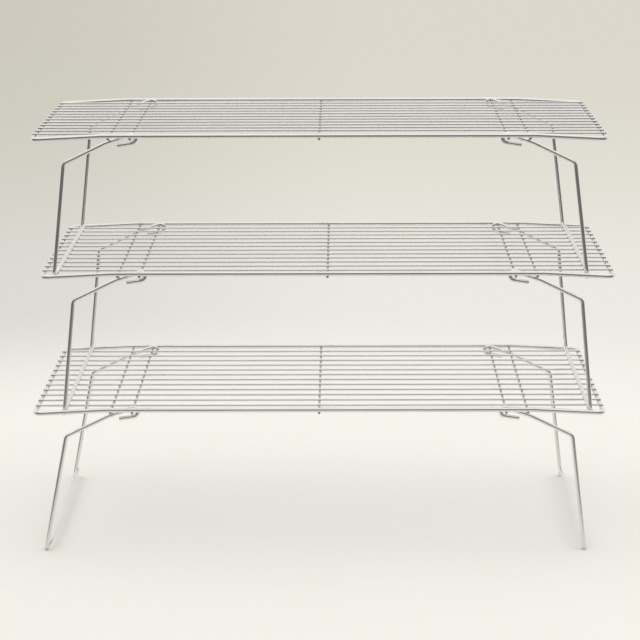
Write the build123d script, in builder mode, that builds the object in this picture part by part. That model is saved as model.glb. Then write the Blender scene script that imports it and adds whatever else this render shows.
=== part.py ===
from build123d import *
import math
import os

# Three-tier stacking cooling rack, all of it round chromed wire.
# Three equal tiers stand on each other. Each tier is a welded wire grid on two folding legs.
# Millimetres, +Z up, +X along the rack, origin under the middle of the stack at floor height.
# In a tier's own frame, z = 0 is the centre of the front and back rails in their middle stretch.

# Overall sizes of a tier
tier_length = 342.9
tier_depth = 247.65
tier_pitch = 82.2

# Wire diameters
rail_dia = 2.9
leg_dia = 2.5
cross_dia = 1.6
long_dia = 1.4

# How deep a resistance weld presses one wire into the other
rail_cross_weld = 0.45
cross_long_weld = 0.15
rail_long_weld = 0.55

# The grid
long_count = 12
rail_corner_radius = 4.5
rail_droop_radius = 40.0
droop_start_past_cross = 3.5
cross_inner_x = 112.0
cross_spacing = 13.0
wire_end_inset = 0.35
wire_end_round = 0.25

# The legs
leg_inset = 5.5
hinge_clearance = 0.05
stop_gap = 0.10
hook_radius = 2.6
hook_straight = 0.1
hook_reach = 3.2
tail_end_x = 8.0
tail_slope = 8.5
arm_past_stop = 2.5
arm_bend_radius = 15.0
knee_x = 152.0
knee_z = -16.85
knee_radius = 4.0
foot_width = 3.2
foot_radius = 1.6
foot_rise = 4.95
stub_run = 4.0
crossbar_radius = 6.0
seat_gap = 0.2

# How far each side wire leans outward, in degrees from vertical: the legs are bent by hand
side_lean = {
    "bottom_left": 10.5,
    "bottom_right": 6.2,
    "middle_left": 5.1,
    "middle_right": 4.6,
    "top_left": 5.3,
    "top_right": 6.4,
}

# How far each crossbar stands in from its own feet
crossbar_inset = {
    "bottom_left": 3.0,
    "bottom_right": 0.5,
    "middle_left": 1.5,
    "middle_right": 1.6,
    "top_left": 2.4,
    "top_right": 0.6,
}

# How far each tier stands off the middle of the stack, along X
tier_shift = {"bottom": -2.6, "middle": 2.6, "top": -2.2}

# Heights in a tier's own frame, worked out from the welds
rail_x = (tier_length - rail_dia) / 2
rail_y = (tier_depth - rail_dia) / 2
cross_z = -(rail_dia + cross_dia) / 2 + rail_cross_weld
long_z = cross_z + (cross_dia + long_dia) / 2 - cross_long_weld
end_rail_z = long_z - (long_dia + rail_dia) / 2 + rail_long_weld
cross_outer_x = cross_inner_x + cross_spacing
long_pitch = 2 * rail_y / (long_count + 1)

# The crossbar of a leg rests on the long wires of the tier below
leg_y = rail_y - leg_inset
crossbar_z = long_z + (long_dia + leg_dia) / 2 + seat_gap - tier_pitch
foot_z = crossbar_z - foot_rise
floor_z = foot_z - leg_dia / 2


def straight_wire(name, centre, direction, length, diameter):
    """A straight wire with lightly rounded cut ends, centred on a point."""
    middle = Vector(*centre)
    along = Vector(*direction)
    with BuildPart() as wire:
        with BuildSketch(Plane(origin=middle, z_dir=along)):
            Circle(diameter / 2)
        extrude(amount=length / 2, both=True)
        fillet(wire.edges().filter_by(GeomType.CIRCLE), radius=wire_end_round)
    save(name, wire.part)


def bent_wire(name, points, radii, diameter, closed=False):
    """A wire of round section bent along straight runs and tangent arcs."""
    with BuildPart() as wire:
        with BuildLine() as line:
            FilletPolyline(*points, radius=radii, close=closed)
        path = line.wire()
        with BuildSketch(Plane(origin=path @ 0, z_dir=path % 0)):
            Circle(diameter / 2)
        sweep(path=path)
        if not closed:
            cut_ends = wire.faces().filter_by(GeomType.PLANE)
            fillet(cut_ends.edges(), radius=wire_end_round)
    save(name, wire.part)


def save(name, part):
    """Labels a finished piece and writes it as its own node."""
    part.label = name
    export_step(part, f"parts/{name}.step")


def frame_rail(tier, shift, height):
    """The thick ring round a tier, whose ends droop so that the long wires lap over them."""
    droop_x = cross_outer_x + droop_start_past_cross
    quarter = [(droop_x, 0.0), (rail_x, end_rail_z), (rail_x, end_rail_z), (droop_x, 0.0)]
    sides = [(1, -1), (1, -1), (1, 1), (1, 1)]
    right = [(sx * x, sy * rail_y, z) for (x, z), (sx, sy) in zip(quarter, sides)]
    ring = right + [(-x, -y, z) for x, y, z in right]
    points = [(x + shift, y, z + height) for x, y, z in ring]
    radii = [rail_droop_radius, rail_corner_radius, rail_corner_radius, rail_droop_radius] * 2
    bent_wire(f"{tier}_frame_rail", points, radii, rail_dia, closed=True)


def long_wires(tier, shift, height):
    """The thin wires that carry the food, from end rail to end rail."""
    length = tier_length - 2 * wire_end_inset
    for number in range(1, long_count + 1):
        y = -rail_y + number * long_pitch
        centre = (shift, y, height + long_z)
        straight_wire(f"{tier}_long_wire_{number:02d}", centre, (1, 0, 0), length, long_dia)


def cross_wires(tier, shift, height):
    """The wires front to back under the rails: each end has a hinge wire and a stop wire."""
    places = {
        "left_stop": -cross_outer_x,
        "left_hinge": -cross_inner_x,
        "centre": 0.0,
        "right_hinge": cross_inner_x,
        "right_stop": cross_outer_x,
    }
    length = tier_depth - 2 * wire_end_inset
    for place, x in places.items():
        centre = (shift + x, 0.0, height + cross_z)
        straight_wire(f"{tier}_cross_wire_{place}", centre, (0, 1, 0), length, cross_dia)


def hook_and_arm():
    """Corners of the tail, hook and arm of a right leg, as (outward, up) from the hinge wire."""
    reach = (cross_dia + leg_dia) / 2
    over = reach + hinge_clearance
    # The arm passes over the hinge wire and under the stop wire
    slope = math.asin((over + reach + stop_gap) / cross_spacing)
    fall = math.radians(tail_slope)
    top = (-hook_reach, over / math.cos(slope) + hook_reach * math.tan(slope))
    # The hook's two bends leave a short straight between them
    bends = math.tan((math.pi / 2 + slope) / 2) + math.tan((math.pi / 2 - fall) / 2)
    bottom = (-hook_reach, top[1] - hook_radius * bends - hook_straight)
    tail_end = (tail_end_x, bottom[1] - (tail_end_x + hook_reach) * math.tan(fall))
    past_stop_x = (cross_spacing + arm_past_stop) * math.cos(slope)
    past_stop = (past_stop_x, over / math.cos(slope) - past_stop_x * math.tan(slope))
    return [tail_end, bottom, top, past_stop]


def folding_leg(tier, side, shift, height):
    """One leg: a single wire from the front hook down, across and up to the back hook."""
    sign = -1 if side == "left" else 1
    lean = math.radians(side_lean[f"{tier}_{side}"])
    hook = [(cross_inner_x + x, cross_z + z) for x, z in hook_and_arm()]
    foot_x = knee_x + (knee_z - foot_z) * math.tan(lean)
    bar_x = foot_x - crossbar_inset[f"{tier}_{side}"]
    # A foot turns in under the rack, then a stub slants up from it to the crossbar
    foot_y = leg_y - foot_width
    bar_y = foot_y - stub_run
    half = [(x, -leg_y, z) for x, z in hook]
    half += [(knee_x, -leg_y, knee_z), (foot_x, -leg_y, foot_z)]
    half += [(foot_x, -foot_y, foot_z), (bar_x, -bar_y, crossbar_z)]
    whole = half + [(x, -y, z) for x, y, z in reversed(half)]
    points = [(sign * x + shift, y, z + height) for x, y, z in whole]
    turns = [hook_radius, hook_radius, arm_bend_radius, knee_radius]
    turns += [foot_radius, foot_radius, crossbar_radius]
    bent_wire(f"{tier}_{side}_leg", points, turns + turns[::-1], leg_dia)


os.makedirs("parts", exist_ok=True)
for level, tier in enumerate(tier_shift):
    shift = tier_shift[tier]
    height = level * tier_pitch - floor_z
    frame_rail(tier, shift, height)
    long_wires(tier, shift, height)
    cross_wires(tier, shift, height)
    folding_leg(tier, "left", shift, height)
    folding_leg(tier, "right", shift, height)
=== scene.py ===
import math
from functools import partial

import bmesh
import bpy
from mathutils import Euler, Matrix, Quaternion, Vector, noise


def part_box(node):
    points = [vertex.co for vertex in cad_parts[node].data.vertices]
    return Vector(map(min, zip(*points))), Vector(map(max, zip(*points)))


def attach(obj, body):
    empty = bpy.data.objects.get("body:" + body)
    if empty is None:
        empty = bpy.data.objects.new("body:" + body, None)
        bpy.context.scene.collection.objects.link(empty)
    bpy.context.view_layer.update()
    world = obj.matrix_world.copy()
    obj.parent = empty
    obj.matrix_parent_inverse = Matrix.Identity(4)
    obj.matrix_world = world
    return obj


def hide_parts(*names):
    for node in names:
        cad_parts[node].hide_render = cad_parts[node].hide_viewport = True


# The looks of a three-tier stacking cooling rack of bent and welded chromed wire.
# Every wire is drawn again as a fine round tube along the line of its CAD node, and every
# crossing gets the small bead that a resistance weld squeezes out.

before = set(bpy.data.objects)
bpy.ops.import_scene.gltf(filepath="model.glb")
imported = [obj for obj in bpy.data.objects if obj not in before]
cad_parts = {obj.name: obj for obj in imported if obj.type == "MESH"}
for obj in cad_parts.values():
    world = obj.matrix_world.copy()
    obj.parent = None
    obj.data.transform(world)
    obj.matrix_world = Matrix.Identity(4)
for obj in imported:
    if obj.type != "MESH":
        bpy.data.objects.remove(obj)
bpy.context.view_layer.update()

MM = 0.001
TIERS = ["bottom", "middle", "top"]
SIDES = {"left": -1, "right": 1}
CROSS_PLACES = ["left_stop", "left_hinge", "centre", "right_hinge", "right_stop"]

# Wire diameters, and the bends that a box doesn't give
RAIL_DIA = 2.9 * MM
LEG_DIA = 2.5 * MM
CROSS_DIA = 1.6 * MM
LONG_DIA = 1.4 * MM
END_ROUND = 0.25 * MM
RAIL_CORNER_RADIUS = 4.5 * MM
RAIL_DROOP_RADIUS = 40.0 * MM
DROOP_START_PAST_CROSS = 3.5 * MM
HINGE_CLEARANCE = 0.05 * MM
STOP_GAP = 0.10 * MM
HOOK_RADIUS = 2.6 * MM
HOOK_STRAIGHT = 0.1 * MM
HOOK_REACH = 3.2 * MM
TAIL_END = 8.0 * MM
TAIL_SLOPE = math.radians(8.5)
ARM_PAST_STOP = 2.5 * MM
ARM_BEND_RADIUS = 15.0 * MM
KNEE_OUT = 40.0 * MM
KNEE_BELOW_RAIL = 16.85 * MM
KNEE_RADIUS = 4.0 * MM
FOOT_WIDTH = 3.2 * MM
FOOT_RADIUS = 1.6 * MM
FOOT_RISE = 4.95 * MM
STUB_RUN = 4.0 * MM
CROSSBAR_RADIUS = 6.0 * MM

# How far each crossbar stands in from its own feet: the legs are bent by hand
CROSSBAR_INSET = {
    "bottom_left": 3.0 * MM,
    "bottom_right": 0.5 * MM,
    "middle_left": 1.5 * MM,
    "middle_right": 1.6 * MM,
    "top_left": 2.4 * MM,
    "top_right": 0.6 * MM,
}

# How finely the wires are drawn
WIRE_SIDES = 20
ARC_STEP = math.radians(7)
RUN_STEP = 9.0 * MM
BEAD_AROUND = 16
BEAD_ACROSS = 4

# How far the two wires of a weld stand apart where its bead ends
THIN_BEAD = 0.13 * MM
RAIL_BEAD = 0.18 * MM
LAP_BEAD = 0.11 * MM
BEAD_LUMPINESS = 0.3
BEAD_LUMPS_PER_METRE = 900
BEAD_SUNK = 0.02 * MM


# ---------------------------------------------------------------- shapes

def filleted_line(corners, radii, closed):
    """Points along straight runs joined by tangent arcs, with one radius for each corner that turns."""
    count = len(corners)
    line = []
    turning = iter(radii)
    for i, corner in enumerate(corners):
        if not closed and i in (0, count - 1):
            line.append(corner)
            continue
        back = (corners[i - 1] - corner).normalized()
        onward = (corners[(i + 1) % count] - corner).normalized()
        turn = math.pi - back.angle(onward)
        radius = next(turning)
        start = corner + back * radius * math.tan(turn / 2)
        centre = corner + (back + onward).normalized() * radius / math.cos(turn / 2)
        axis = onward.cross(back).normalized()
        steps = max(3, math.ceil(turn / ARC_STEP))
        for k in range(steps + 1):
            line.append(centre + Quaternion(axis, turn * k / steps) @ (start - centre))
    return line


def divided(line, closed):
    """The same line with points added along its long runs."""
    ends = line[1:] + line[:1] if closed else line[1:]
    points = []
    for a, b in zip(line, ends):
        pieces = max(1, math.ceil((b - a).length / RUN_STEP))
        points += [a.lerp(b, k / pieces) for k in range(pieces)]
    return points if closed else points + [line[-1]]


def rounded_ends(line, radius):
    """(points, radii) of a cut wire, whose last quarter millimetre draws in along a quarter circle."""
    first = (line[1] - line[0]).normalized()
    last = (line[-2] - line[-1]).normalized()
    turns = [math.radians(a) for a in (0, 30, 60, 90)]
    inset = [(1 - math.sin(a), 1 - math.cos(a)) for a in turns]
    head = [line[0] + first * END_ROUND * (1 - math.cos(a)) for a in turns]
    tail = [line[-1] + last * END_ROUND * (1 - math.cos(a)) for a in turns]
    narrow = [radius - END_ROUND * lost for lost, _ in inset]
    points = head + line[1:-1] + tail[::-1]
    radii = narrow + [radius] * (len(line) - 2) + narrow[::-1]
    return points, radii


def wire(name, corners, bends, diameter, closed=False):
    """A round wire as a mesh tube, with a UV map in metres along and around it."""
    line = divided(filleted_line(corners, bends, closed), closed)
    radii = [diameter / 2] * len(line)
    if not closed:
        line, radii = rounded_ends(line, diameter / 2)
    count = len(line)
    ahead = [line[(i + 1) % count] - line[i] for i in range(count)]
    tangents = [(ahead[i].normalized() + ahead[i - 1].normalized()).normalized() for i in range(count)]
    if not closed:
        tangents[0] = ahead[0].normalized()
        tangents[-1] = ahead[-2].normalized()
    side = tangents[0].cross(Vector((0, 0, 1))).normalized()
    sides = [side]
    for before, after in zip(tangents, tangents[1:]):
        side = before.rotation_difference(after) @ side
        side = (side - after * side.dot(after)).normalized()
        sides.append(side)

    made = bmesh.new()
    uv = made.loops.layers.uv.new("wire")
    rings = []
    for point, tangent, side, radius in zip(line, tangents, sides, radii):
        up = tangent.cross(side)
        ring = []
        for k in range(WIRE_SIDES):
            angle = 2 * math.pi * k / WIRE_SIDES
            outward = side * math.cos(angle) + up * math.sin(angle)
            ring.append(made.verts.new(point + outward * radius))
        rings.append(ring)
    onward = rings[1:] + rings[:1] if closed else rings[1:]
    along = 0.0
    for i, (a, b) in enumerate(zip(rings, onward)):
        length = ahead[i].length
        for k in range(WIRE_SIDES):
            turned = (k + 1) % WIRE_SIDES
            face = made.faces.new((a[k], a[turned], b[turned], b[k]))
            face.smooth = True
            around = [k, k + 1, k + 1, k]
            ahead_by = [0, 0, length, length]
            for loop, turn, step in zip(face.loops, around, ahead_by):
                loop[uv].uv = (along + step, math.pi * diameter * turn / WIRE_SIDES)
        along += length
    if not closed:
        made.faces.new(list(reversed(rings[0])))
        made.faces.new(rings[-1])
    bmesh.ops.recalc_face_normals(made, faces=made.faces)
    return finished(name, made)


def finished(name, made):
    """Turns a bmesh into an object of the scene."""
    mesh = bpy.data.meshes.new(name)
    made.to_mesh(mesh)
    made.free()
    piece = bpy.data.objects.new(name, mesh)
    bpy.context.scene.collection.objects.link(piece)
    return piece


def weld_bead(made, x, y, lower_z, lower_radius, upper_z, upper_radius, bead):
    """Adds the meniscus of metal round the place where a wire along X lies on a wire along Y."""
    def lower_top(dx):
        return lower_z + math.sqrt(max(lower_radius ** 2 - dx ** 2, 0.0))

    def upper_bottom(dy):
        return upper_z - math.sqrt(max(upper_radius ** 2 - dy ** 2, 0.0))

    def reach(cosine, sine, wanted):
        """How far out from the middle of the crossing the two wires stand this far apart."""
        limits = lower_radius / max(abs(cosine), 0.01), upper_radius / max(abs(sine), 0.01)
        near, far = 0.0, 0.98 * min(limits)
        for _ in range(24):
            middle = (near + far) / 2
            if upper_bottom(middle * sine) - lower_top(middle * cosine) < wanted:
                near = middle
            else:
                far = middle
        return near

    sections = []
    for k in range(BEAD_AROUND):
        angle = 2 * math.pi * (k + 0.5) / BEAD_AROUND
        cosine, sine = math.cos(angle), math.sin(angle)
        spot = Vector((x + cosine * MM, y + sine * MM, upper_z))
        lumpy = 1 + BEAD_LUMPINESS * noise.noise(spot * BEAD_LUMPS_PER_METRE)
        touching = reach(cosine, sine, 0.0)
        edge = reach(cosine, sine, bead * lumpy)
        waist = touching + 0.35 * (edge - touching)
        section = []
        for step in range(BEAD_ACROSS + 1):
            share = step / BEAD_ACROSS
            out = edge - (edge - waist) * math.sin(math.pi * share)
            low, high = lower_top(out * cosine), upper_bottom(out * sine)
            sunk = BEAD_SUNK * (2 * share - 1)
            section.append((out, low + (high - low) * share + sunk))
        section.append((touching * 0.5, (lower_top(0) + upper_bottom(0)) / 2))
        sections.append([made.verts.new((x + out * cosine, y + out * sine, z)) for out, z in section])
    loop_count = BEAD_ACROSS + 2
    for a, b in zip(sections, sections[1:] + sections[:1]):
        for k in range(loop_count):
            turned = (k + 1) % loop_count
            face = made.faces.new((a[k], b[k], b[turned], a[turned]))
            face.smooth = True


# ---------------------------------------------------------------- materials

def mapped_range(tree, interpolation, value, low, high, to_low, to_high):
    """A Map Range node that takes low to high over to to_low to to_high."""
    node = tree.nodes.new("ShaderNodeMapRange")
    node.interpolation_type = interpolation
    node.inputs["From Min"].default_value = low
    node.inputs["From Max"].default_value = high
    node.inputs["To Min"].default_value = to_low
    node.inputs["To Max"].default_value = to_high
    tree.links.new(value, node.inputs["Value"])
    return node.outputs["Result"]


def math_node(tree, operation, a, b):
    """A Math node on two values, each a number or another node's output."""
    node = tree.nodes.new("ShaderNodeMath")
    node.operation = operation
    for socket, value in zip(node.inputs, (a, b)):
        if isinstance(value, float):
            socket.default_value = value
        else:
            tree.links.new(value, socket)
    return node.outputs[0]


# What a dull spot leaves of the plate's red, green and blue
DULL_TINT = (0.48, 0.44, 0.38)


def chrome(name, colour, roughness, haze, streaks, pits):
    """Bright plate: haze that varies, drawing lines along the wire, a faint ripple, and small dull spots."""
    material = bpy.data.materials.new(name)
    material.use_nodes = True
    nodes, links = material.node_tree.nodes, material.node_tree.links
    shader = nodes["Principled BSDF"]
    shader.inputs["Metallic"].default_value = 1.0
    place = nodes.new("ShaderNodeTexCoord")

    def noise_of(scale, detail, vector):
        texture = nodes.new("ShaderNodeTexNoise")
        texture.inputs["Scale"].default_value = scale
        texture.inputs["Detail"].default_value = detail
        links.new(vector, texture.inputs["Vector"])
        return texture.outputs["Fac"]

    ranged = partial(mapped_range, material.node_tree, "LINEAR")
    maths = partial(math_node, material.node_tree)

    # Along the wire a drawing line runs on and on; around it there are many
    own_map = nodes.new("ShaderNodeUVMap")
    own_map.uv_map = "wire"
    stretch = nodes.new("ShaderNodeMapping")
    stretch.inputs["Scale"].default_value = (60.0, 5200.0, 1.0)
    links.new(own_map.outputs["UV"], stretch.inputs["Vector"])
    drawn = noise_of(1.0, 2.0, stretch.outputs["Vector"])

    cloud = noise_of(38.0, 3.0, place.outputs["Object"])
    ripple = noise_of(90.0, 0.0, place.outputs["Object"])
    speck = noise_of(1150.0, 1.0, place.outputs["Object"])
    patch = noise_of(90.0, 2.0, place.outputs["Object"])

    spots = maths("MULTIPLY", ranged(speck, 0.66, 0.74, 0.0, 1.0), ranged(patch, 0.50, 0.62, 0.0, 1.0))
    dull = maths("MULTIPLY", spots, pits)
    hazy = ranged(cloud, 0.35, 0.70, roughness, roughness + haze)
    rough = maths("ADD", hazy, maths("MULTIPLY", dull, 0.30))
    rough = maths("ADD", rough, ranged(drawn, 0.3, 0.7, 0.0, streaks))
    links.new(rough, shader.inputs["Roughness"])

    tint = nodes.new("ShaderNodeMix")
    tint.data_type = "RGBA"
    tint.inputs["A"].default_value = (*colour, 1.0)
    tint.inputs["B"].default_value = (*[share * part for share, part in zip(DULL_TINT, colour)], 1.0)
    links.new(maths("MULTIPLY", dull, 0.8), tint.inputs["Factor"])
    shade = nodes.new("ShaderNodeMix")
    shade.data_type = "RGBA"
    shade.blend_type = "MULTIPLY"
    shade.inputs["Factor"].default_value = 1.0
    tone = ranged(cloud, 0.3, 0.7, 0.93, 1.0)
    links.new(tint.outputs["Result"], shade.inputs["A"])
    links.new(tone, shade.inputs["B"])
    links.new(shade.outputs["Result"], shader.inputs["Base Color"])

    bump = nodes.new("ShaderNodeBump")
    bump.inputs["Strength"].default_value = 0.10
    bump.inputs["Distance"].default_value = 0.03 * MM
    links.new(ripple, bump.inputs["Height"])
    links.new(bump.outputs["Normal"], shader.inputs["Normal"])
    return material


# Name: colour, roughness, haze on top of it, streaks of the drawing lines, dull spots
CHROME = {
    "rail_chrome": chrome("rail_chrome", (0.80, 0.805, 0.80), 0.07, 0.07, 0.03, 0.5),
    "wire_chrome": chrome("wire_chrome", (0.77, 0.775, 0.77), 0.14, 0.08, 0.04, 0.35),
    "leg_chrome": chrome("leg_chrome", (0.82, 0.825, 0.82), 0.07, 0.08, 0.04, 0.6),
    "weld_chrome": chrome("weld_chrome", (0.80, 0.80, 0.79), 0.36, 0.12, 0.0, 0.4),
}


def placed(piece, body, slot, material, *nodes):
    """Gives a piece its finish and its body, and hides the CAD nodes it stands for."""
    piece.data.materials.append(CHROME[material])
    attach(piece, body)
    if nodes:
        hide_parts(*nodes)


# ---------------------------------------------------------------- the grid of a tier

def middle_of(node):
    low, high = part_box(node)
    return (low + high) / 2


def rail_line(tier):
    """Corners and bend radii of the ring, whose ends droop under the long wires."""
    low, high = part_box(f"{tier}_frame_rail")
    centre_x = (low.x + high.x) / 2
    end_x = (high.x - low.x - RAIL_DIA) / 2
    side_y = (high.y - low.y - RAIL_DIA) / 2
    level_z = high.z - RAIL_DIA / 2
    end_z = low.z + RAIL_DIA / 2
    droop_x = middle_of(f"{tier}_cross_wire_right_stop").x - centre_x + DROOP_START_PAST_CROSS
    right = [(droop_x, -side_y, level_z), (end_x, -side_y, end_z)]
    right += [(end_x, side_y, end_z), (droop_x, side_y, level_z)]
    ring = right + [(-x, -y, z) for x, y, z in right]
    corners = [Vector((centre_x + x, y, z)) for x, y, z in ring]
    radii = [RAIL_DROOP_RADIUS, RAIL_CORNER_RADIUS, RAIL_CORNER_RADIUS, RAIL_DROOP_RADIUS] * 2
    return corners, radii


def straight_line(node, axis):
    low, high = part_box(node)
    start, end = (low + high) / 2, (low + high) / 2
    start[axis], end[axis] = low[axis], high[axis]
    return [start, end]


def grid(tier):
    """Rail, long wires and cross wires of one tier, each as its own piece."""
    body = f"{tier}_grid"
    rail = f"{tier}_frame_rail"
    corners, radii = rail_line(tier)
    ring = wire(f"{tier}_rail_ring", corners, radii, RAIL_DIA, closed=True)
    placed(ring, body, "rail_chrome", "rail_chrome", rail)
    long_nodes = sorted(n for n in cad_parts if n.startswith(f"{tier}_long_wire"))
    for node in long_nodes:
        piece = wire(node.replace("long_wire", "long"), straight_line(node, 0), [], LONG_DIA)
        placed(piece, body, "wire_chrome", "wire_chrome", node)
    cross_nodes = [f"{tier}_cross_wire_{place}" for place in CROSS_PLACES]
    for node in cross_nodes:
        piece = wire(node.replace("cross_wire", "cross"), straight_line(node, 1), [], CROSS_DIA)
        placed(piece, body, "wire_chrome", "wire_chrome", node)
    welds(tier, corners, long_nodes, cross_nodes)


def welds(tier, rail_corners, long_nodes, cross_nodes):
    """A bead at every crossing of long wires, cross wires and rails."""
    level_z, end_z = rail_corners[0].z, rail_corners[1].z
    side_ys = (rail_corners[0].y, rail_corners[3].y)
    end_xs = (rail_corners[1].x, rail_corners[5].x)
    longs = [middle_of(n) for n in long_nodes]
    crosses = [middle_of(n) for n in cross_nodes]
    thin = bmesh.new()
    thick = bmesh.new()
    for across in crosses:
        for along in longs:
            weld_bead(thin, across.x, along.y, across.z, CROSS_DIA / 2, along.z, LONG_DIA / 2, THIN_BEAD)
        for y in side_ys:
            weld_bead(thick, across.x, y, across.z, CROSS_DIA / 2, level_z, RAIL_DIA / 2, RAIL_BEAD)
    for along in longs:
        for x in end_xs:
            weld_bead(thick, x, along.y, end_z, RAIL_DIA / 2, along.z, LONG_DIA / 2, LAP_BEAD)
    for made, name, slot in ((thin, "wire_welds", "wire_chrome"), (thick, "rail_welds", "rail_chrome")):
        bmesh.ops.recalc_face_normals(made, faces=made.faces)
        placed(finished(f"{tier}_{name}", made), f"{tier}_grid", slot, "weld_chrome")


# ---------------------------------------------------------------- the legs

def leg(tier, side):
    """One folding leg: tail, hook round the hinge wire, arm under the stop wire, side, foot and crossbar."""
    sign = SIDES[side]
    low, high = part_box(f"{tier}_{side}_leg")
    hinge = middle_of(f"{tier}_cross_wire_{side}_hinge")
    stop = middle_of(f"{tier}_cross_wire_{side}_stop")
    rail_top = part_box(f"{tier}_frame_rail")[1].z
    spacing = abs(stop.x - hinge.x)
    leg_y = high.y - LEG_DIA / 2
    foot_z = low.z + LEG_DIA / 2
    foot_out = (high.x - hinge.x if sign > 0 else hinge.x - low.x) - LEG_DIA / 2
    knee_z = rail_top - RAIL_DIA / 2 - KNEE_BELOW_RAIL

    touching = (CROSS_DIA + LEG_DIA) / 2
    over = touching + HINGE_CLEARANCE
    slope = math.asin((over + touching + STOP_GAP) / spacing)
    hook_top = over / math.cos(slope) + HOOK_REACH * math.tan(slope)
    bends = math.tan((math.pi / 2 + slope) / 2) + math.tan((math.pi / 2 - TAIL_SLOPE) / 2)
    hook_bottom = hook_top - HOOK_RADIUS * bends - HOOK_STRAIGHT
    tail_z = hook_bottom - (TAIL_END + HOOK_REACH) * math.tan(TAIL_SLOPE)
    past_stop = (spacing + ARM_PAST_STOP) * math.cos(slope)
    past_stop_z = over / math.cos(slope) - past_stop * math.tan(slope)

    bar_out = foot_out - CROSSBAR_INSET[f"{tier}_{side}"]
    foot_y = leg_y - FOOT_WIDTH
    half = [
        (TAIL_END, -leg_y, hinge.z + tail_z),
        (-HOOK_REACH, -leg_y, hinge.z + hook_bottom),
        (-HOOK_REACH, -leg_y, hinge.z + hook_top),
        (past_stop, -leg_y, hinge.z + past_stop_z),
        (KNEE_OUT, -leg_y, knee_z),
        (foot_out, -leg_y, foot_z),
        (foot_out, -foot_y, foot_z),
        (bar_out, STUB_RUN - foot_y, foot_z + FOOT_RISE),
    ]
    whole = half + [(x, -y, z) for x, y, z in reversed(half)]
    corners = [Vector((hinge.x + sign * x, y, z)) for x, y, z in whole]
    turns = [HOOK_RADIUS, HOOK_RADIUS, ARM_BEND_RADIUS, KNEE_RADIUS]
    turns += [FOOT_RADIUS, FOOT_RADIUS, CROSSBAR_RADIUS]
    piece = wire(f"{tier}_leg_{side}", corners, turns + turns[::-1], LEG_DIA)
    placed(piece, f"{tier}_{side}_leg", "leg_chrome", "leg_chrome", f"{tier}_{side}_leg")


for tier in TIERS:
    grid(tier)
    for side in SIDES:
        leg(tier, side)


# ---------------------------------------------------------------- stage, light and camera

def floor():
    """A pale disc that fades out into the backdrop, and that can't be seen from underneath."""
    made = bmesh.new()
    bmesh.ops.create_circle(made, cap_ends=True, segments=96, radius=1.0)
    disc = finished("floor", made)
    disc.location.z = -0.0001
    material = bpy.data.materials.new("floor")
    material.use_nodes = True
    nodes, links = material.node_tree.nodes, material.node_tree.links
    nodes.clear()
    ranged = partial(mapped_range, material.node_tree, "SMOOTHSTEP")
    maths = partial(math_node, material.node_tree)
    place = nodes.new("ShaderNodeTexCoord")
    length = nodes.new("ShaderNodeVectorMath")
    length.operation = "LENGTH"
    under = nodes.new("ShaderNodeNewGeometry")
    path = nodes.new("ShaderNodeLightPath")
    paint = nodes.new("ShaderNodeBsdfDiffuse")
    paint.inputs["Color"].default_value = (0.785, 0.782, 0.75, 1.0)
    clear = nodes.new("ShaderNodeBsdfTransparent")
    mixed = nodes.new("ShaderNodeMixShader")
    out = nodes.new("ShaderNodeOutputMaterial")
    links.new(place.outputs["Object"], length.inputs[0])
    out_from_middle = length.outputs["Value"]
    fade = ranged(out_from_middle, 0.35, 0.95, 0.0, 1.0)
    hidden = maths("MAXIMUM", fade, under.outputs["Backfacing"])
    # The wires mirror a smaller floor than the camera sees
    mirrored = ranged(out_from_middle, 0.16, 0.46, 0.0, 0.75)
    thinned = maths("MULTIPLY", path.outputs["Is Glossy Ray"], mirrored)
    links.new(maths("MAXIMUM", thinned, hidden), mixed.inputs["Fac"])
    links.new(paint.outputs[0], mixed.inputs[1])
    links.new(clear.outputs[0], mixed.inputs[2])
    links.new(mixed.outputs[0], out.inputs["Surface"])
    disc.data.materials.append(material)


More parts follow.
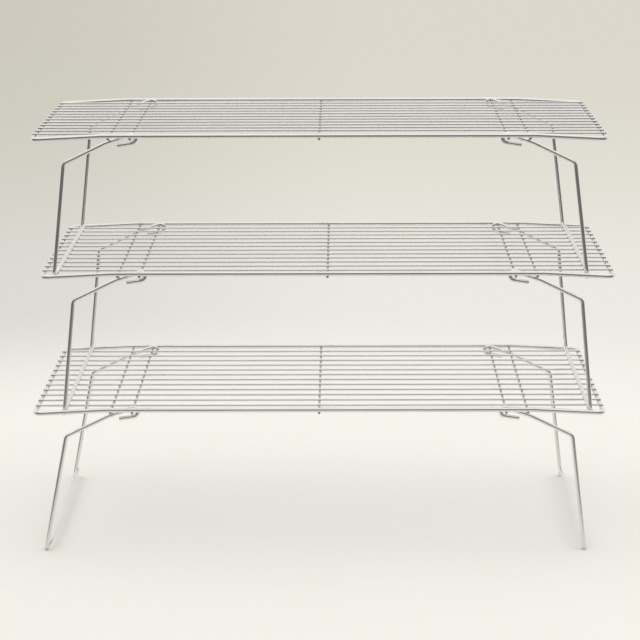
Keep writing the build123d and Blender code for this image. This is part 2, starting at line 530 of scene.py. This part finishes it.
def studio():
    """The world: the pale backdrop that the camera sees, and the room that the wires mirror."""
    world = bpy.data.worlds.new("studio")
    bpy.context.scene.world = world
    world.use_nodes = True
    nodes, links = world.node_tree.nodes, world.node_tree.links
    nodes.clear()
    place = nodes.new("ShaderNodeTexCoord")
    parts = nodes.new("ShaderNodeSeparateXYZ")
    links.new(place.outputs["Generated"], parts.inputs[0])

    ranged = partial(mapped_range, world.node_tree, "SMOOTHSTEP")
    maths = partial(math_node, world.node_tree)

    # The backdrop gets lighter downwards and a little lighter to the right: painted shade of the studio
    # light falling off across a plain sweep
    ramp = nodes.new("ShaderNodeValToRGB")
    stops = ramp.color_ramp
    stops.interpolation = "EASE"
    stops.elements[0].position = 0.0
    stops.elements[0].color = (0.68, 0.66, 0.57, 1.0)
    stops.elements[1].position = 1.0
    stops.elements[1].color = (0.92, 0.91, 0.85, 1.0)
    middle = stops.elements.new(0.5)
    middle.color = (0.805, 0.785, 0.73, 1.0)
    links.new(ranged(parts.outputs["Z"], -0.05, -0.24, 0.0, 1.0), ramp.inputs["Fac"])
    across = nodes.new("ShaderNodeMix")
    across.data_type = "RGBA"
    across.blend_type = "MULTIPLY"
    across.inputs["Factor"].default_value = 1.0
    links.new(ramp.outputs["Color"], across.inputs["A"])
    links.new(ranged(parts.outputs["X"], -0.10, 0.02, 0.90, 1.045), across.inputs["B"])

    # What the wires mirror: a bright room above and behind, dark in front of the rack and beside it
    front = ranged(parts.outputs["Y"], 0.45, -0.10, 0.0, 1.0)
    low = ranged(parts.outputs["Z"], 0.72, 0.36, 0.0, 1.0)
    dark = maths("MULTIPLY", front, low)
    overhead = ranged(parts.outputs["Z"], 0.0, 0.8, 0.84, 1.10)
    level = maths("MULTIPLY", overhead, maths("SUBTRACT", 1.0, maths("MULTIPLY", dark, 0.80)))
    room = nodes.new("ShaderNodeBackground")
    room.inputs["Color"].default_value = (1.0, 0.985, 0.95, 1.0)
    links.new(level, room.inputs["Strength"])
    backdrop = nodes.new("ShaderNodeBackground")
    links.new(across.outputs["Result"], backdrop.inputs["Color"])
    path = nodes.new("ShaderNodeLightPath")
    mixed = nodes.new("ShaderNodeMixShader")
    out = nodes.new("ShaderNodeOutputWorld")
    links.new(path.outputs["Is Camera Ray"], mixed.inputs["Fac"])
    links.new(room.outputs[0], mixed.inputs[1])
    links.new(backdrop.outputs[0], mixed.inputs[2])
    links.new(mixed.outputs[0], out.inputs["Surface"])


def softbox(name, place, target, size, power, colour):
    """A square area light, turned to face a point."""
    data = bpy.data.lights.new(name, "AREA")
    data.size = size
    data.energy = power
    data.color = colour
    light = bpy.data.objects.new(name, data)
    light.location = place
    light.rotation_euler = (Vector(target) - Vector(place)).to_track_quat("-Z", "Y").to_euler()
    light.visible_camera = False
    light.visible_glossy = False
    bpy.context.scene.collection.objects.link(light)


def camera():
    """A long lens in front of the rack, a little above it."""
    data = bpy.data.cameras.new("camera")
    data.lens = 200.4
    data.sensor_width = 36.0
    data.clip_start = 0.1
    data.clip_end = 50.0
    eye = bpy.data.objects.new("camera", data)
    eye.location = Vector((10.4, -2221.5, 455.5)) * MM
    eye.rotation_euler = Euler((math.radians(90 - 8.52), math.radians(0.147), math.radians(0.315)))
    bpy.context.scene.collection.objects.link(eye)
    bpy.context.scene.camera = eye


floor()
studio()
softbox("top_softbox", (-0.3, 0.35, 1.6), (0, 0, 0.1), 2.6, 10, (1.0, 0.985, 0.95))
softbox("right_softbox", (1.5, -0.6, 0.9), (0, 0, 0.12), 0.8, 5, (1.0, 0.98, 0.94))
camera()
bpy.context.scene.view_settings.view_transform = "Standard"
